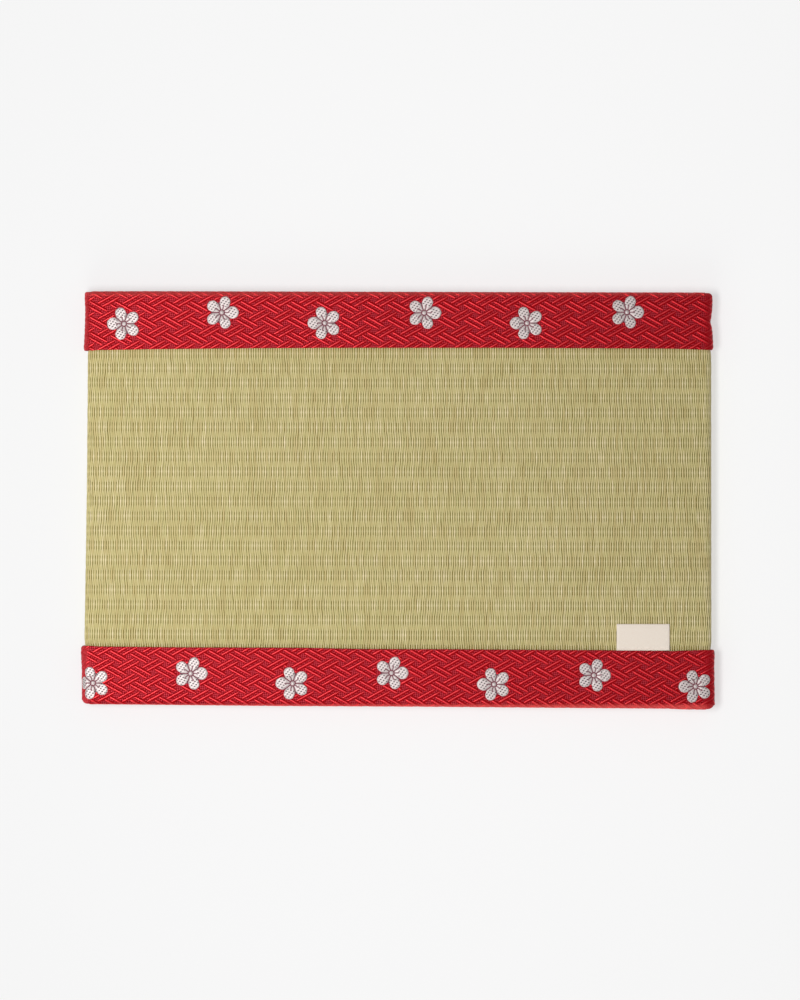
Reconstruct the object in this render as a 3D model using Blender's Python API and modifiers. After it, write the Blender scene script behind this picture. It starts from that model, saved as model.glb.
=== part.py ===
# A small tatami mat lying flat: a slab faced all round with woven rush, a brocade
# binding wrapped round each long edge, and a bare tape tab sewn into the front seam.
# X runs along the bindings, Y from the front binding to the back one, Z up.
# The origin is at the middle of the outline, on the surface the mat lies on.

import math
from collections import namedtuple

import bmesh
import bpy

MM = 0.001

# Heights and thicknesses, in millimetres
THICKNESS = 13.0
CLOTH = 1.0
GAP = 0.3

# The rush facing, in millimetres
ROW_PITCH = 7.07
ROW_CROWN_Y = 62.8
RIB_DEPTH = 0.35
STEPS_PER_ROW = 4
BACK_FOLD_Y = 72.3
FRONT_FOLD_Y = -70.9
FACING_BACK_Y = 97.9
FACING_FRONT_Y = -96.3
FACING_END_ROUND = 3.0
FACING_COLUMNS = 6

# How far a row climbs for each unit along X, at the front and back edges
FRONT_SLOPE = -0.0045
BACK_SLOPE = -0.001

# The bindings, in millimetres
RIM_ROUND = 1.8
FOLD_ROUND = 0.45
BEVEL_SEGMENTS = 3

# The tab, in millimetres
TAB_LEFT_X = 104.4
TAB_RIGHT_X = 129.6
TAB_FRONT_Y = -71.1
TAB_BACK_Y = -59.0
TAB_ROUND = 0.25

# Where the two ends of the facing lie, from front to back
FacingEnds = namedtuple("FacingEnds", "y left right")
FACING_ENDS = (
    FacingEnds(y=-97.0, left=-149.2, right=145.4),
    FacingEnds(y=-94.2, left=-149.3, right=149.2),
    FacingEnds(y=-67.0, left=-149.3, right=149.2),
    FacingEnds(y=-21.0, left=-148.6, right=149.2),
    FacingEnds(y=14.0, left=-148.1, right=149.2),
    FacingEnds(y=50.0, left=-147.8, right=149.2),
    FacingEnds(y=73.0, left=-147.8, right=149.1),
    FacingEnds(y=80.0, left=-147.6, right=147.8),
    FacingEnds(y=98.0, left=-147.6, right=147.8),
)

# Each binding's outline seen from above: the inner fold from left to right, then
# round the right end, the outer edge and the left end. Corners have a rounding.
OutlinePoint = namedtuple("OutlinePoint", "x y rounding", defaults=(0.0,))
BACK_OUTLINE = (
    OutlinePoint(x=-149.7, y=71.0, rounding=0.6),
    OutlinePoint(x=-144.0, y=71.5),
    OutlinePoint(x=-120.0, y=71.9),
    OutlinePoint(x=-70.0, y=72.4),
    OutlinePoint(x=-30.0, y=72.6),
    OutlinePoint(x=49.0, y=72.6),
    OutlinePoint(x=130.0, y=72.2),
    OutlinePoint(x=150.5, y=71.6, rounding=0.6),
    OutlinePoint(x=150.4, y=78.0),
    OutlinePoint(x=149.3, y=84.9),
    OutlinePoint(x=150.2, y=92.0),
    OutlinePoint(x=150.2, y=99.2, rounding=1.8),
    OutlinePoint(x=60.0, y=99.4),
    OutlinePoint(x=-119.0, y=99.73),
    OutlinePoint(x=-149.4, y=99.4, rounding=1.0),
    OutlinePoint(x=-149.0, y=90.0),
    OutlinePoint(x=-149.3, y=80.0),
)
FRONT_OUTLINE = (
    OutlinePoint(x=-150.9, y=-69.2, rounding=0.6),
    OutlinePoint(x=-142.0, y=-69.75),
    OutlinePoint(x=-110.0, y=-70.1),
    OutlinePoint(x=-46.0, y=-70.35),
    OutlinePoint(x=-15.0, y=-70.95),
    OutlinePoint(x=72.0, y=-71.4),
    OutlinePoint(x=130.0, y=-71.95),
    OutlinePoint(x=151.0, y=-71.3, rounding=0.6),
    OutlinePoint(x=150.8, y=-78.0),
    OutlinePoint(x=150.77, y=-95.2, rounding=1.8),
    OutlinePoint(x=144.1, y=-99.73, rounding=1.8),
    OutlinePoint(x=128.0, y=-99.0),
    OutlinePoint(x=72.0, y=-98.7),
    OutlinePoint(x=13.0, y=-98.2),
    OutlinePoint(x=-58.0, y=-97.9),
    OutlinePoint(x=-129.0, y=-97.25),
    OutlinePoint(x=-150.6, y=-97.0, rounding=1.8),
    OutlinePoint(x=-150.7, y=-80.0),
    OutlinePoint(x=-151.06, y=-73.0),
)

# Colour, roughness and metallic value of each piece
Finish = namedtuple("Finish", "colour roughness metallic")
RUSH = Finish(colour=(0.48, 0.41, 0.19, 1.0), roughness=0.62, metallic=0.0)
BROCADE = Finish(colour=(0.40, 0.018, 0.026, 1.0), roughness=0.45, metallic=0.0)
TAPE = Finish(colour=(0.80, 0.72, 0.62, 1.0), roughness=0.75, metallic=0.0)


def clear_scene():
    for thing in list(bpy.data.objects):
        bpy.data.objects.remove(thing, do_unlink=True)


def new_collection(name):
    collection = bpy.data.collections.new(name)
    bpy.context.scene.collection.children.link(collection)
    return collection


def new_material(name, finish):
    material = bpy.data.materials.new(name)
    material.use_nodes = True
    shader = material.node_tree.nodes["Principled BSDF"]
    shader.inputs["Base Color"].default_value = finish.colour
    shader.inputs["Roughness"].default_value = finish.roughness
    shader.inputs["Metallic"].default_value = finish.metallic
    return material


def new_object(name, mesh, collection):
    thing = bpy.data.objects.new(name, mesh)
    collection.objects.link(thing)
    return thing


def between(low, high, share):
    return low + (high - low) * share


def facing_ends(y, grow):
    # The facing's left and right ends at one distance from the middle
    first = FACING_ENDS[0]
    last = FACING_ENDS[-1]
    y = min(max(y, first.y), last.y)
    for here, after in zip(FACING_ENDS, FACING_ENDS[1:]):
        if y <= after.y:
            share = (y - here.y) / (after.y - here.y)
            left = between(here.left, after.left, share)
            right = between(here.right, after.right, share)
            return left - grow, right + grow
    return last.left - grow, last.right + grow


def row_y(y, x):
    # Rows fan out slightly, so each has its own slope along X
    share = (y - FACING_FRONT_Y) / (FACING_BACK_Y - FACING_FRONT_Y)
    return y + x * between(FRONT_SLOPE, BACK_SLOPE, share)


def ribbed_top(y):
    # A shallow rib for each woven row, and a flat top under the bindings
    top = THICKNESS - CLOTH - GAP
    if not FRONT_FOLD_Y < y < BACK_FOLD_Y:
        return top
    turn = 2.0 * math.pi * (y - ROW_CROWN_Y) / ROW_PITCH
    return top - RIB_DEPTH * 0.5 * (1.0 - math.cos(turn))


def end_profile(bottom, top, steps=4):
    # One rounded end of the slab, from its underside up to its top
    radius = FACING_END_ROUND
    points = []
    for step in range(steps + 1):
        angle = 0.5 * math.pi * step / steps
        points.append((radius * (1.0 - math.sin(angle)), bottom + radius * (1.0 - math.cos(angle))))
    for step in range(steps + 1):
        angle = 0.5 * math.pi * step / steps
        points.append((radius * (1.0 - math.cos(angle)), top - radius * (1.0 - math.sin(angle))))
    return points


def slab_section(y, bottom, top, grow):
    # The slab cut across at one row: right end up, top, left end down, underside
    left, right = facing_ends(y, grow)
    profile = end_profile(bottom, top)
    flat_left = left + FACING_END_ROUND
    flat_right = right - FACING_END_ROUND
    inner = [between(flat_left, flat_right, column / FACING_COLUMNS) for column in range(1, FACING_COLUMNS)]
    points = [(right - inset, z) for inset, z in profile]
    points += [(x, top) for x in reversed(inner)]
    points += [(left + inset, z) for inset, z in reversed(profile)]
    points += [(x, bottom) for x in inner]
    return [(x * MM, row_y(y, x) * MM, z * MM) for x, z in points]


def loft(name, sections, collection):
    # A closed solid skinned over sections that all have the same number of points
    bm = bmesh.new()
    rings = [[bm.verts.new(point) for point in section] for section in sections]
    count = len(rings[0])
    for ring, following in zip(rings, rings[1:]):
        for index in range(count):
            after = (index + 1) % count
            bm.faces.new((ring[index], ring[after], following[after], following[index]))
    bm.faces.new(rings[0])
    bm.faces.new(rings[-1])
    bmesh.ops.recalc_face_normals(bm, faces=bm.faces)
    mesh = bpy.data.meshes.new(name)
    bm.to_mesh(mesh)
    bm.free()
    return new_object(name, mesh, collection)


def rib_stations():
    step = ROW_PITCH / STEPS_PER_ROW
    first = math.ceil((FRONT_FOLD_Y - ROW_CROWN_Y) / step)
    last = math.floor((BACK_FOLD_Y - ROW_CROWN_Y) / step)
    return [ROW_CROWN_Y + step * index for index in range(first, last + 1)]


def make_facing(collection):
    bottom = CLOTH + GAP
    stations = [FACING_FRONT_Y, FACING_ENDS[1].y, FRONT_FOLD_Y]
    stations += rib_stations()
    stations += [BACK_FOLD_Y, 80.0, FACING_BACK_Y]
    sections = [slab_section(y, bottom, ribbed_top(y), 0.0) for y in stations]
    facing = loft("rush_facing", sections, collection)
    facing.data.materials.append(new_material("rush", RUSH))
    return facing


def make_hollow(name, y_from, y_to, collection):
    # The room a binding leaves for the slab, a gap larger all round
    bottom = CLOTH
    top = THICKNESS - CLOTH
    middle_rows = [row.y for row in FACING_ENDS if y_from < row.y < y_to]
    stations = [y_from] + middle_rows + [y_to]
    sections = [slab_section(y, bottom, top, GAP) for y in stations]
    hollow = loft(name, sections, collection)
    hollow.hide_render = True
    hollow.display_type = "WIRE"
    return hollow


def extruded_outline(name, outline, height, collection):
    # A flat outline raised from the ground to a height, as a welded mesh
    curve = bpy.data.curves.new(name + "_outline", "CURVE")
    curve.dimensions = "2D"
    curve.fill_mode = "BOTH"
    curve.extrude = 0.5 * height * MM
    spline = curve.splines.new("POLY")
    spline.points.add(len(outline) - 1)
    for point, row in zip(spline.points, outline):
        point.co = (row.x * MM, row.y * MM, 0.0, 1.0)
    spline.use_cyclic_u = True
    flat = new_object(name + "_outline", curve, collection)
    flat.location.z = 0.5 * height * MM
    bpy.context.view_layer.update()
    depsgraph = bpy.context.evaluated_depsgraph_get()
    mesh = bpy.data.meshes.new_from_object(flat.evaluated_get(depsgraph))
    solid = new_object(name, mesh, collection)
    solid.matrix_world = flat.matrix_world
    bpy.data.objects.remove(flat, do_unlink=True)
    bm = bmesh.new()
    bm.from_mesh(mesh)
    bmesh.ops.remove_doubles(bm, verts=bm.verts, dist=0.00005)
    bmesh.ops.dissolve_limit(bm, angle_limit=0.001, verts=bm.verts, edges=bm.edges)
    bmesh.ops.recalc_face_normals(bm, faces=bm.faces)
    bm.to_mesh(mesh)
    bm.free()
    return solid


def weight_edges(mesh, outline):
    # Full rounding on the outer rims, a tight one on the inner fold, and each
    # corner's own rounding on its upright edge
    fold_limit = max(abs(row.y) for row in outline if abs(row.y) < 73.0) * MM + 0.0001
    bm = bmesh.new()
    bm.from_mesh(mesh)
    weights = bm.edges.layers.float.new("bevel_weight_edge")
    for edge in bm.edges:
        start, end = (vert.co for vert in edge.verts)
        if abs(start.z - end.z) > 0.001:
            nearest = min(outline, key=lambda row: math.hypot(row.x * MM - start.x, row.y * MM - start.y))
            edge[weights] = nearest.rounding / RIM_ROUND
        elif abs(start.y) < fold_limit and abs(end.y) < fold_limit:
            edge[weights] = FOLD_ROUND / RIM_ROUND
        else:
            edge[weights] = 1.0
    bm.to_mesh(mesh)
    bm.free()


def make_binding(name, outline, y_from, y_to, collection, cutters):
    # A cloth strip folded round the slab's edge and over both of its ends
    binding = extruded_outline(name, outline, THICKNESS, collection)
    weight_edges(binding.data, outline)
    bevel = binding.modifiers.new("rounded_rims", "BEVEL")
    bevel.limit_method = "WEIGHT"
    bevel.width = RIM_ROUND * MM
    bevel.segments = BEVEL_SEGMENTS
    hollow = make_hollow(name + "_hollow", y_from, y_to, cutters)
    cut = binding.modifiers.new("room_for_slab", "BOOLEAN")
    cut.operation = "DIFFERENCE"
    cut.solver = "EXACT"
    cut.object = hollow
    binding.data.materials.append(new_material(name + "_brocade", BROCADE))
    return binding


def make_tab(collection):
    # A folded tape lying on the rush, in front of the seam that holds it
    bottom = THICKNESS - CLOTH
    size = (TAB_RIGHT_X - TAB_LEFT_X, TAB_BACK_Y - TAB_FRONT_Y, CLOTH)
    middle = (0.5 * (TAB_LEFT_X + TAB_RIGHT_X), 0.5 * (TAB_FRONT_Y + TAB_BACK_Y), bottom + 0.5 * CLOTH)
    bm = bmesh.new()
    bmesh.ops.create_cube(bm, size=1.0)
    bmesh.ops.scale(bm, vec=[length * MM for length in size], verts=bm.verts)
    mesh = bpy.data.meshes.new("tape_tab")
    bm.to_mesh(mesh)
    bm.free()
    tab = new_object("tape_tab", mesh, collection)
    tab.location = [place * MM for place in middle]
    bevel = tab.modifiers.new("soft_edges", "BEVEL")
    bevel.width = TAB_ROUND * MM
    bevel.segments = 2
    mesh.materials.append(new_material("tape", TAPE))
    return tab


def build():
    clear_scene()
    pieces = new_collection("tatami_mat")
    cutters = new_collection("cutters")
    make_facing(pieces)
    reach = 10.0
    make_binding("binding_back", BACK_OUTLINE, BACK_FOLD_Y - reach, FACING_BACK_Y + GAP, pieces, cutters)
    make_binding("binding_front", FRONT_OUTLINE, FACING_FRONT_Y - GAP, FRONT_FOLD_Y + reach, pieces, cutters)
    make_tab(pieces)


build()
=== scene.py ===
import math
import random

import bmesh
import bpy
import numpy as np
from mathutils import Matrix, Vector


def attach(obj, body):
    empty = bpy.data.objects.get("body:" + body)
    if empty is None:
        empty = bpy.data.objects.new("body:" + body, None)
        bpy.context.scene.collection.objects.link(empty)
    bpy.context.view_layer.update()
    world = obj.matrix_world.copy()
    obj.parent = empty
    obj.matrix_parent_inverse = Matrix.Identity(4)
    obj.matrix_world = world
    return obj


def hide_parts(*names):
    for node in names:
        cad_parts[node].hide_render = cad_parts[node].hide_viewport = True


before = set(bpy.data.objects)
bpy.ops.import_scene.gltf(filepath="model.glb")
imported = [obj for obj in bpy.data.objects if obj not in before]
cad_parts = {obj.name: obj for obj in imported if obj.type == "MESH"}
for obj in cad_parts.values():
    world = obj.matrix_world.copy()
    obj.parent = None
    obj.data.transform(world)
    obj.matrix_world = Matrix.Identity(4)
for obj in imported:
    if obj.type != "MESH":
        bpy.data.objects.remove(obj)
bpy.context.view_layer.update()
mm = 0.001
print("frame loaded, nodes:", sorted(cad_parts))

# Everything below is in millimetres in the part's own frame: X along the bindings,
# Y from the front binding to the back one, Z up from the surface the mat lies on.
matForm = {
    "thickness": 13.0,
    "facingTop": 11.7,
    "facingBottom": 1.3,
    "facingEndRound": 3.0,
    "frontSlope": -0.0048,  # how far a row climbs along X, at the front edge
    "backSlope": -0.0006,
    "halfDepth": 97.0,
    # how far out the facing's ends lie, from front to back
    "leftEnd": [(-97.0, -149.2), (-67.0, -149.3), (-21.0, -148.6), (14.0, -148.1), (50.0, -147.8),
                (97.0, -147.6)],
    "rightEnd": [(-97.0, 148.2), (-90.0, 149.6), (73.0, 149.5), (80.0, 147.9), (97.0, 147.8)],
    "folds": (-70.8, 72.3),  # where the bindings' inner folds press on the facing
}


def mix(low, high, share):
    return low + (high - low) * share


def placeIn(table, at, soften=1.2):
    # reads a table of (where, value) pairs, with its corners eased a little
    where, values = zip(*table)
    steps = [at + soften * step for step in (-1.0, -0.5, 0.0, 0.5, 1.0)]
    return float(np.interp(steps, where, values).mean())


def roundTurn(past, bend, wall):
    # past the start of a rounded end: how far down its wall a point is, and how far it has turned
    drop = min(max(past - 0.5 * math.pi * bend, 0.0), wall)
    return drop, (past - drop) / bend


def turnLength(bend, high):
    # the whole way down round an end that is rounded above and below
    return math.pi * bend + high - 2.0 * bend


def newSkin():
    return {"points": [], "faces": [], "fabric": [], "local": []}


def addPoint(skin, point, fabric=(0.0, 0.0), local=(0.0, 0.0)):
    skin["points"].append((point[0] * mm, point[1] * mm, point[2] * mm))
    skin["fabric"].append(fabric)
    skin["local"].append(local)
    return len(skin["points"]) - 1


def addGrid(skin, rows, flip=False, closed=False):
    # quads between rows of point numbers
    for row, following in zip(rows, rows[1:]):
        count = len(row)
        for index in range(count if closed else count - 1):
            after = (index + 1) % count
            quad = (row[index], row[after], following[after], following[index])
            skin["faces"].append(quad[::-1] if flip else quad)


def makePiece(name, skin, material, weld=0.0, closed=False):
    mesh = bpy.data.meshes.new(name)
    mesh.from_pydata(skin["points"], [], skin["faces"])
    corners = np.zeros(len(mesh.loops), np.int32)
    mesh.loops.foreach_get("vertex_index", corners)
    for layerName in ("fabric", "local"):
        layer = mesh.uv_layers.new(name=layerName)
        layer.data.foreach_set("uv", np.array(skin[layerName], np.float32)[corners].ravel())
    if weld:
        bm = bmesh.new()
        bm.from_mesh(mesh)
        bmesh.ops.remove_doubles(bm, verts=bm.verts, dist=weld * mm)
        if closed:
            bmesh.ops.recalc_face_normals(bm, faces=bm.faces)
        bm.to_mesh(mesh)
        bm.free()
    mesh.shade_smooth()
    mesh.materials.append(material)
    piece = bpy.data.objects.new(name, mesh)
    bpy.context.scene.collection.objects.link(piece)
    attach(piece, "root")
    return piece


def softenEdges(piece, width, segments, angle):
    soften = piece.modifiers.new("soft edges", "BEVEL")
    soften.width = width * mm
    soften.segments = segments
    soften.limit_method = "ANGLE"
    soften.angle_limit = math.radians(angle)


# Shader helpers


def srgb(red, green, blue):
    # a colour given the way a picture shows it, 0 to 255
    def straight(value):
        value /= 255.0
        return value / 12.92 if value <= 0.04045 else ((value + 0.055) / 1.055) ** 2.4
    return (straight(red), straight(green), straight(blue), 1.0)


def addNode(tree, kind, **settings):
    node = tree.nodes.new(kind)
    for key, value in settings.items():
        setattr(node, key, value)
    return node


def feed(tree, target, source):
    # a socket is linked, a colour of 0 to 255 is set as srgb gives it, a number as it is
    if isinstance(source, bpy.types.NodeSocket):
        tree.links.new(source, target)
    elif isinstance(source, tuple):
        target.default_value = srgb(*source)
    else:
        target.default_value = source


def mathNode(tree, operation, first, second=0.0, third=0.0):
    node = addNode(tree, "ShaderNodeMath", operation=operation)
    for socket, source in zip(node.inputs, (first, second, third)):
        feed(tree, socket, source)
    return node.outputs[0]


def times(tree, first, *others):
    for other in others:
        first = mathNode(tree, "MULTIPLY", first, other)
    return first


def sizeOf(tree, value):
    return mathNode(tree, "ABSOLUTE", value)


def mixColour(tree, share, first, second):
    node = addNode(tree, "ShaderNodeMix", data_type="RGBA")
    for key, source in (("Factor", share), ("A", first), ("B", second)):
        feed(tree, node.inputs[key], source)
    return node.outputs["Result"]


def rangeNode(tree, value, fromLow, fromHigh, toLow, toHigh, smooth=False):
    node = addNode(tree, "ShaderNodeMapRange")
    node.interpolation_type = "SMOOTHSTEP" if smooth else "LINEAR"
    feed(tree, node.inputs["Value"], value)
    for name, number in zip(("From Min", "From Max", "To Min", "To Max"), (fromLow, fromHigh, toLow, toHigh)):
        node.inputs[name].default_value = number
    return node.outputs["Result"]


def between(tree, value, low, high):
    # spreads a value of 0 to 1 between two others
    return rangeNode(tree, value, 0.0, 1.0, low, high)


def fadeIn(tree, value, start, end):
    return rangeNode(tree, value, start, end, 0.0, 1.0, smooth=True)


def fadeOut(tree, value, start, end, full=1.0):
    return rangeNode(tree, value, start, end, full, 0.0, smooth=True)


def rampNode(tree, value, stops):
    node = addNode(tree, "ShaderNodeValToRGB")
    elements = node.color_ramp.elements
    while len(elements) < len(stops):
        elements.new(0.5)
    for element, (place, colour) in zip(elements, stops):
        element.position = place
        element.color = srgb(*colour)
    feed(tree, node.inputs["Fac"], value)
    return node.outputs["Color"]


def uvMap(tree, layerName):
    return addNode(tree, "ShaderNodeUVMap", uv_map=layerName).outputs["UV"]


def splitVector(tree, vector):
    parts = addNode(tree, "ShaderNodeSeparateXYZ")
    tree.links.new(vector, parts.inputs[0])
    return parts.outputs["X"], parts.outputs["Y"]


def newGroup(name, inputs, outputs):
    # every socket is a number, apart from an input with no value, which is a vector
    group = bpy.data.node_groups.new(name, "ShaderNodeTree")
    for label, value in inputs.items():
        kind = "NodeSocketVector" if value is None else "NodeSocketFloat"
        socket = group.interface.new_socket(name=label, in_out="INPUT", socket_type=kind)
        if value is not None:
            socket.default_value = value
    for label in outputs:
        group.interface.new_socket(name=label, in_out="OUTPUT", socket_type="NodeSocketFloat")
    return group, addNode(group, "NodeGroupInput"), addNode(group, "NodeGroupOutput")


def placeGroup(tree, group, **values):
    node = addNode(tree, "ShaderNodeGroup", node_tree=group)
    for key, value in values.items():
        feed(tree, node.inputs[key], value)
    return node


def newMaterial(name):
    material = bpy.data.materials.new(name)
    material.use_nodes = True
    tree = material.node_tree
    return material, tree, tree.nodes["Principled BSDF"]


def dress(tree, shader, colour, height, strength, distance, **plain):
    # colour and relief come from nodes, the rest are plain values on the shader's own sockets
    feed(tree, shader.inputs["Base Color"], colour)
    bump = addNode(tree, "ShaderNodeBump")
    feed(tree, bump.inputs["Height"], height)
    bump.inputs["Strength"].default_value = strength
    bump.inputs["Distance"].default_value = distance * mm
    feed(tree, shader.inputs["Normal"], bump.outputs["Normal"])
    sockets = {"roughness": "Roughness", "metallic": "Metallic", "specular": "Specular IOR Level"}
    for name, value in plain.items():
        shader.inputs[sockets[name]].default_value = value


def makeThreadGrain():
    # fine lines that run along one direction of a fabric map, as fibres or twisted yarn do
    inputs = {"Map": None, "Across": 6.0, "Along": 0.4}
    group, source, result = newGroup("threadGrain", inputs, ["Shade", "Height"])
    x, y = splitVector(group, source.outputs["Map"])
    joined = addNode(group, "ShaderNodeCombineXYZ")
    feed(group, joined.inputs["X"], times(group, x, source.outputs["Across"]))
    feed(group, joined.inputs["Y"], times(group, y, source.outputs["Along"]))
    grain = addNode(group, "ShaderNodeTexNoise")
    grain.inputs["Scale"].default_value = 1.0
    grain.inputs["Detail"].default_value = 2.0
    group.links.new(joined.outputs[0], grain.inputs["Vector"])
    feed(group, result.inputs["Shade"], rangeNode(group, grain.outputs["Fac"], 0.3, 0.7, 0.0, 1.0))
    feed(group, result.inputs["Height"], grain.outputs["Fac"])
    return group


def makeMottle():
    # slow unevenness of tone over the whole mat
    group, source, result = newGroup("toneMottle", {"Size": 40.0, "Depth": 0.1}, ["Tone"])
    place = addNode(group, "ShaderNodeTexCoord")
    patches = addNode(group, "ShaderNodeTexNoise")
    patches.inputs["Detail"].default_value = 3.0
    group.links.new(place.outputs["Object"], patches.inputs["Vector"])
    feed(group, patches.inputs["Scale"], mathNode(group, "DIVIDE", 1000.0, source.outputs["Size"]))
    swing = mathNode(group, "SUBTRACT", patches.outputs["Fac"], 0.5)
    swing = times(group, swing, source.outputs["Depth"])
    feed(group, result.inputs["Tone"], mathNode(group, "ADD", 1.0, swing))
    return group


threadGrain = makeThreadGrain()
toneMottle = makeMottle()


def fibres(tree, uv, across, along):
    # shade and relief of the fine lines on a fabric map
    grain = placeGroup(tree, threadGrain, Map=uv, Across=across, Along=along)
    return grain.outputs["Shade"], grain.outputs["Height"]


def toned(tree, colour, tone):
    # multiplies a colour by a tone value
    node = addNode(tree, "ShaderNodeVectorMath", operation="SCALE")
    feed(tree, node.inputs[0], colour)
    feed(tree, node.inputs["Scale"], tone)
    return node.outputs[0]


yarns = {
    # grain across and along, dark and light tone, strength and depth of the relief, roughness
    # the rush below is real, but its darker colour is painted shade for the gaps between the floats
    "rushBelowPaintedShade": ((3.5, 0.35), (122, 107, 32), (148, 132, 52), (0.5, 0.2), 0.8),
    "weavingCord": ((5.0, 3.0), (150, 136, 88), (188, 174, 124), (0.6, 0.15), 0.85),
    "blossomThread": ((2.0, 5.0), (104, 34, 50), (140, 66, 84), (0.5, 0.1), 0.7),
}


def yarnMaterial(name):
    # a plain yarn, whose two tones and relief follow its fibres
    (across, along), dark, light, relief, roughness = yarns[name]
    material, tree, shader = newMaterial(name)
    shade, height = fibres(tree, uvMap(tree, "fabric"), across, along)
    dress(tree, shader, mixColour(tree, shade, dark, light), height, *relief, roughness=roughness)
    return material


# The rush facing

rushWeave = {
    "rowPitch": 7.075,
    "rowCrown": 62.95,  # Y of one row's crown
    "rows": range(-1, 20),
    "rushPitch": 1.128,  # between rushes that float over the same row
    # one float from its crown outwards: half rows from the crown, width, depth below the crown
    "float": [(0.0, 0.98, 0.0), (0.12, 0.94, 0.0), (0.3, 0.87, 0.01), (0.55, 0.84, 0.04), (0.8, 0.80, 0.07),
              (1.0, 0.68, 0.12), (1.24, 0.38, 0.24), (1.45, 0.10, 0.48)],
    "roundness": 0.36,
    "endReach": 0.25,  # how far the end floats stand out past the facing's solid
    "seamDip": (0.45, 1.9),  # how deep the seams press the rushes in, and how far out
    "seed": 11,
    # how uneven the rushes are: their places and thicknesses, and then each float
    "strandOffset": 0.04,
    "strandThickness": (0.94, 1.06, 0.025),  # least, most and spread
    "crownSwing": 0.12,
    "floatSwing": 0.04,
    "floatLean": 0.05,
    "floatLift": 0.03,
    "floatReach": (0.92, 1.1),
    # how they wander from row to row: width, and turn for each row and each rush
    "wander": ((0.13, 0.6, 0.11), (0.05, 1.9, -0.037)),
    "strandZero": 1000.5,  # keeps the strands' numbers on the fabric map above 0
    # where a float's points lie, across its width and along it in half rows
    "upperPoints": ((-1.0, -0.42, 0.42, 1.0), (-1.45, -1.15, -0.8, -0.3, 0.0, 0.3, 0.8, 1.15, 1.45)),
    "underPoints": ((-1.0, 0.0, 1.0), (-1.35, -0.7, 0.0, 0.7, 1.35)),
}


def rowLine(y, x):
    # rows fan out slightly across the mat
    share = (y + matForm["halfDepth"]) / (2.0 * matForm["halfDepth"])
    return y + x * mix(matForm["frontSlope"], matForm["backSlope"], share)


topLength = 291.6  # nominal run between the rounded ends
endLength = turnLength(matForm["facingEndRound"], matForm["facingTop"] - matForm["facingBottom"])
wrapLength = topLength + endLength


def onFacing(y, s, depth):
    # a point of the facing: s runs round it from the top left, depth goes in from its surface
    left = placeIn(matForm["leftEnd"], y) - rushWeave["endReach"]
    right = placeIn(matForm["rightEnd"], y) + rushWeave["endReach"]
    bend = matForm["facingEndRound"]
    top, bottom = matForm["facingTop"], matForm["facingBottom"]
    s = s % (2.0 * wrapLength)
    under = s >= wrapLength
    if under:
        s -= wrapLength
    x, z, angle = right - bend, top - bend, 0.0
    if s <= topLength:
        x = left + bend + (right - left - 2.0 * bend) * s / topLength
    else:
        drop, angle = roundTurn(s - topLength, bend, top - bottom - 2.0 * bend)
        z -= drop
    x += (bend - depth) * math.sin(angle)
    z += (bend - depth) * math.cos(angle)
    if under:
        # the second half of the loop is the first turned over
        x, z = left + right - x, top + bottom - z
    return x, rowLine(y, x), z


def floatForm(t):
    # half width, depth and roundness of a float, t half rows from its crown
    away, width, deep = zip(*rushWeave["float"])
    t = abs(t)
    flatter = 1.0 - 0.55 * min(1.0, t)
    half = 0.5 * float(np.interp(t, away, width))
    return half, float(np.interp(t, away, deep)), rushWeave["roundness"] * flatter


def seamDip(y):
    deep, spread = rushWeave["seamDip"]
    front, back = matForm["folds"]
    inside = max(0.0, min(y - front, back - y))
    return deep * math.exp(-((inside / spread) ** 2))


def addFloat(skin, points, place, build, reaches):
    # one rush from where it dives on one side of the cord to where it dives on the other
    form = rushWeave
    crossPlaces, floatPlaces = points
    row, number, crown, middle = place
    thick, lean, lift = build
    lines = []
    for t in floatPlaces:
        half, deep, roundness = floatForm(t * reaches[t > 0])
        y = crown + 0.5 * form["rowPitch"] * t
        sunk = deep + lift + seamDip(y)
        line = []
        for side in crossPlaces:
            s = middle + lean * t + half * thick * side
            point = onFacing(y, s, sunk + roundness * side * side)
            fabric = (2.0 * number + form["strandZero"] + 0.45 * side, row + 0.5 - 0.34 * t)
            line.append(addPoint(skin, point, fabric, (side, t)))
        lines.append(line)
    addGrid(skin, lines)


def makeRushRows(name, rows, rushes, points, material):
    # one float for every second rush in each row, so that neighbouring rows interlock
    form = rushWeave
    rng = random.Random(form["seed"])
    rushCount = rushes[1] - rushes[0]
    # each rush keeps its place and thickness from row to row
    swing = form["strandOffset"]
    strands = range(rushCount * 2 + 2)
    offsets = [rng.uniform(-swing, swing) for _ in strands]
    least, most, spread = form["strandThickness"]
    thicknesses = [min(most, max(least, rng.gauss(1.0, spread))) for _ in strands]
    swing = form["floatSwing"]
    skin = newSkin()
    for row in rows:
        rowRng = random.Random(form["seed"] * 1000 + row)
        crown = form["rowCrown"] - form["rowPitch"] * row
        crown += rowRng.uniform(-form["crownSwing"], form["crownSwing"])
        shift = 0.5 * (row % 2)
        for index in range(rushCount):
            number = rushes[0] + index + shift
            strand = int(2 * (index + shift))
            thick = thicknesses[strand] + rowRng.uniform(-swing, swing)
            lean = rowRng.uniform(-form["floatLean"], form["floatLean"])
            wander = sum(width * math.sin(a * row + b * number) for width, a, b in form["wander"])
            middle = (number + 0.5) * form["rushPitch"] + offsets[strand] + wander
            middle += rowRng.uniform(-swing, swing)
            lift = rowRng.uniform(-form["floatLift"], form["floatLift"])
            reaches = (rowRng.uniform(*form["floatReach"]), rowRng.uniform(*form["floatReach"]))
            addFloat(skin, points, (row, number, crown, middle), (thick, lean, lift), reaches)
    return makePiece(name, skin, material)


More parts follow.
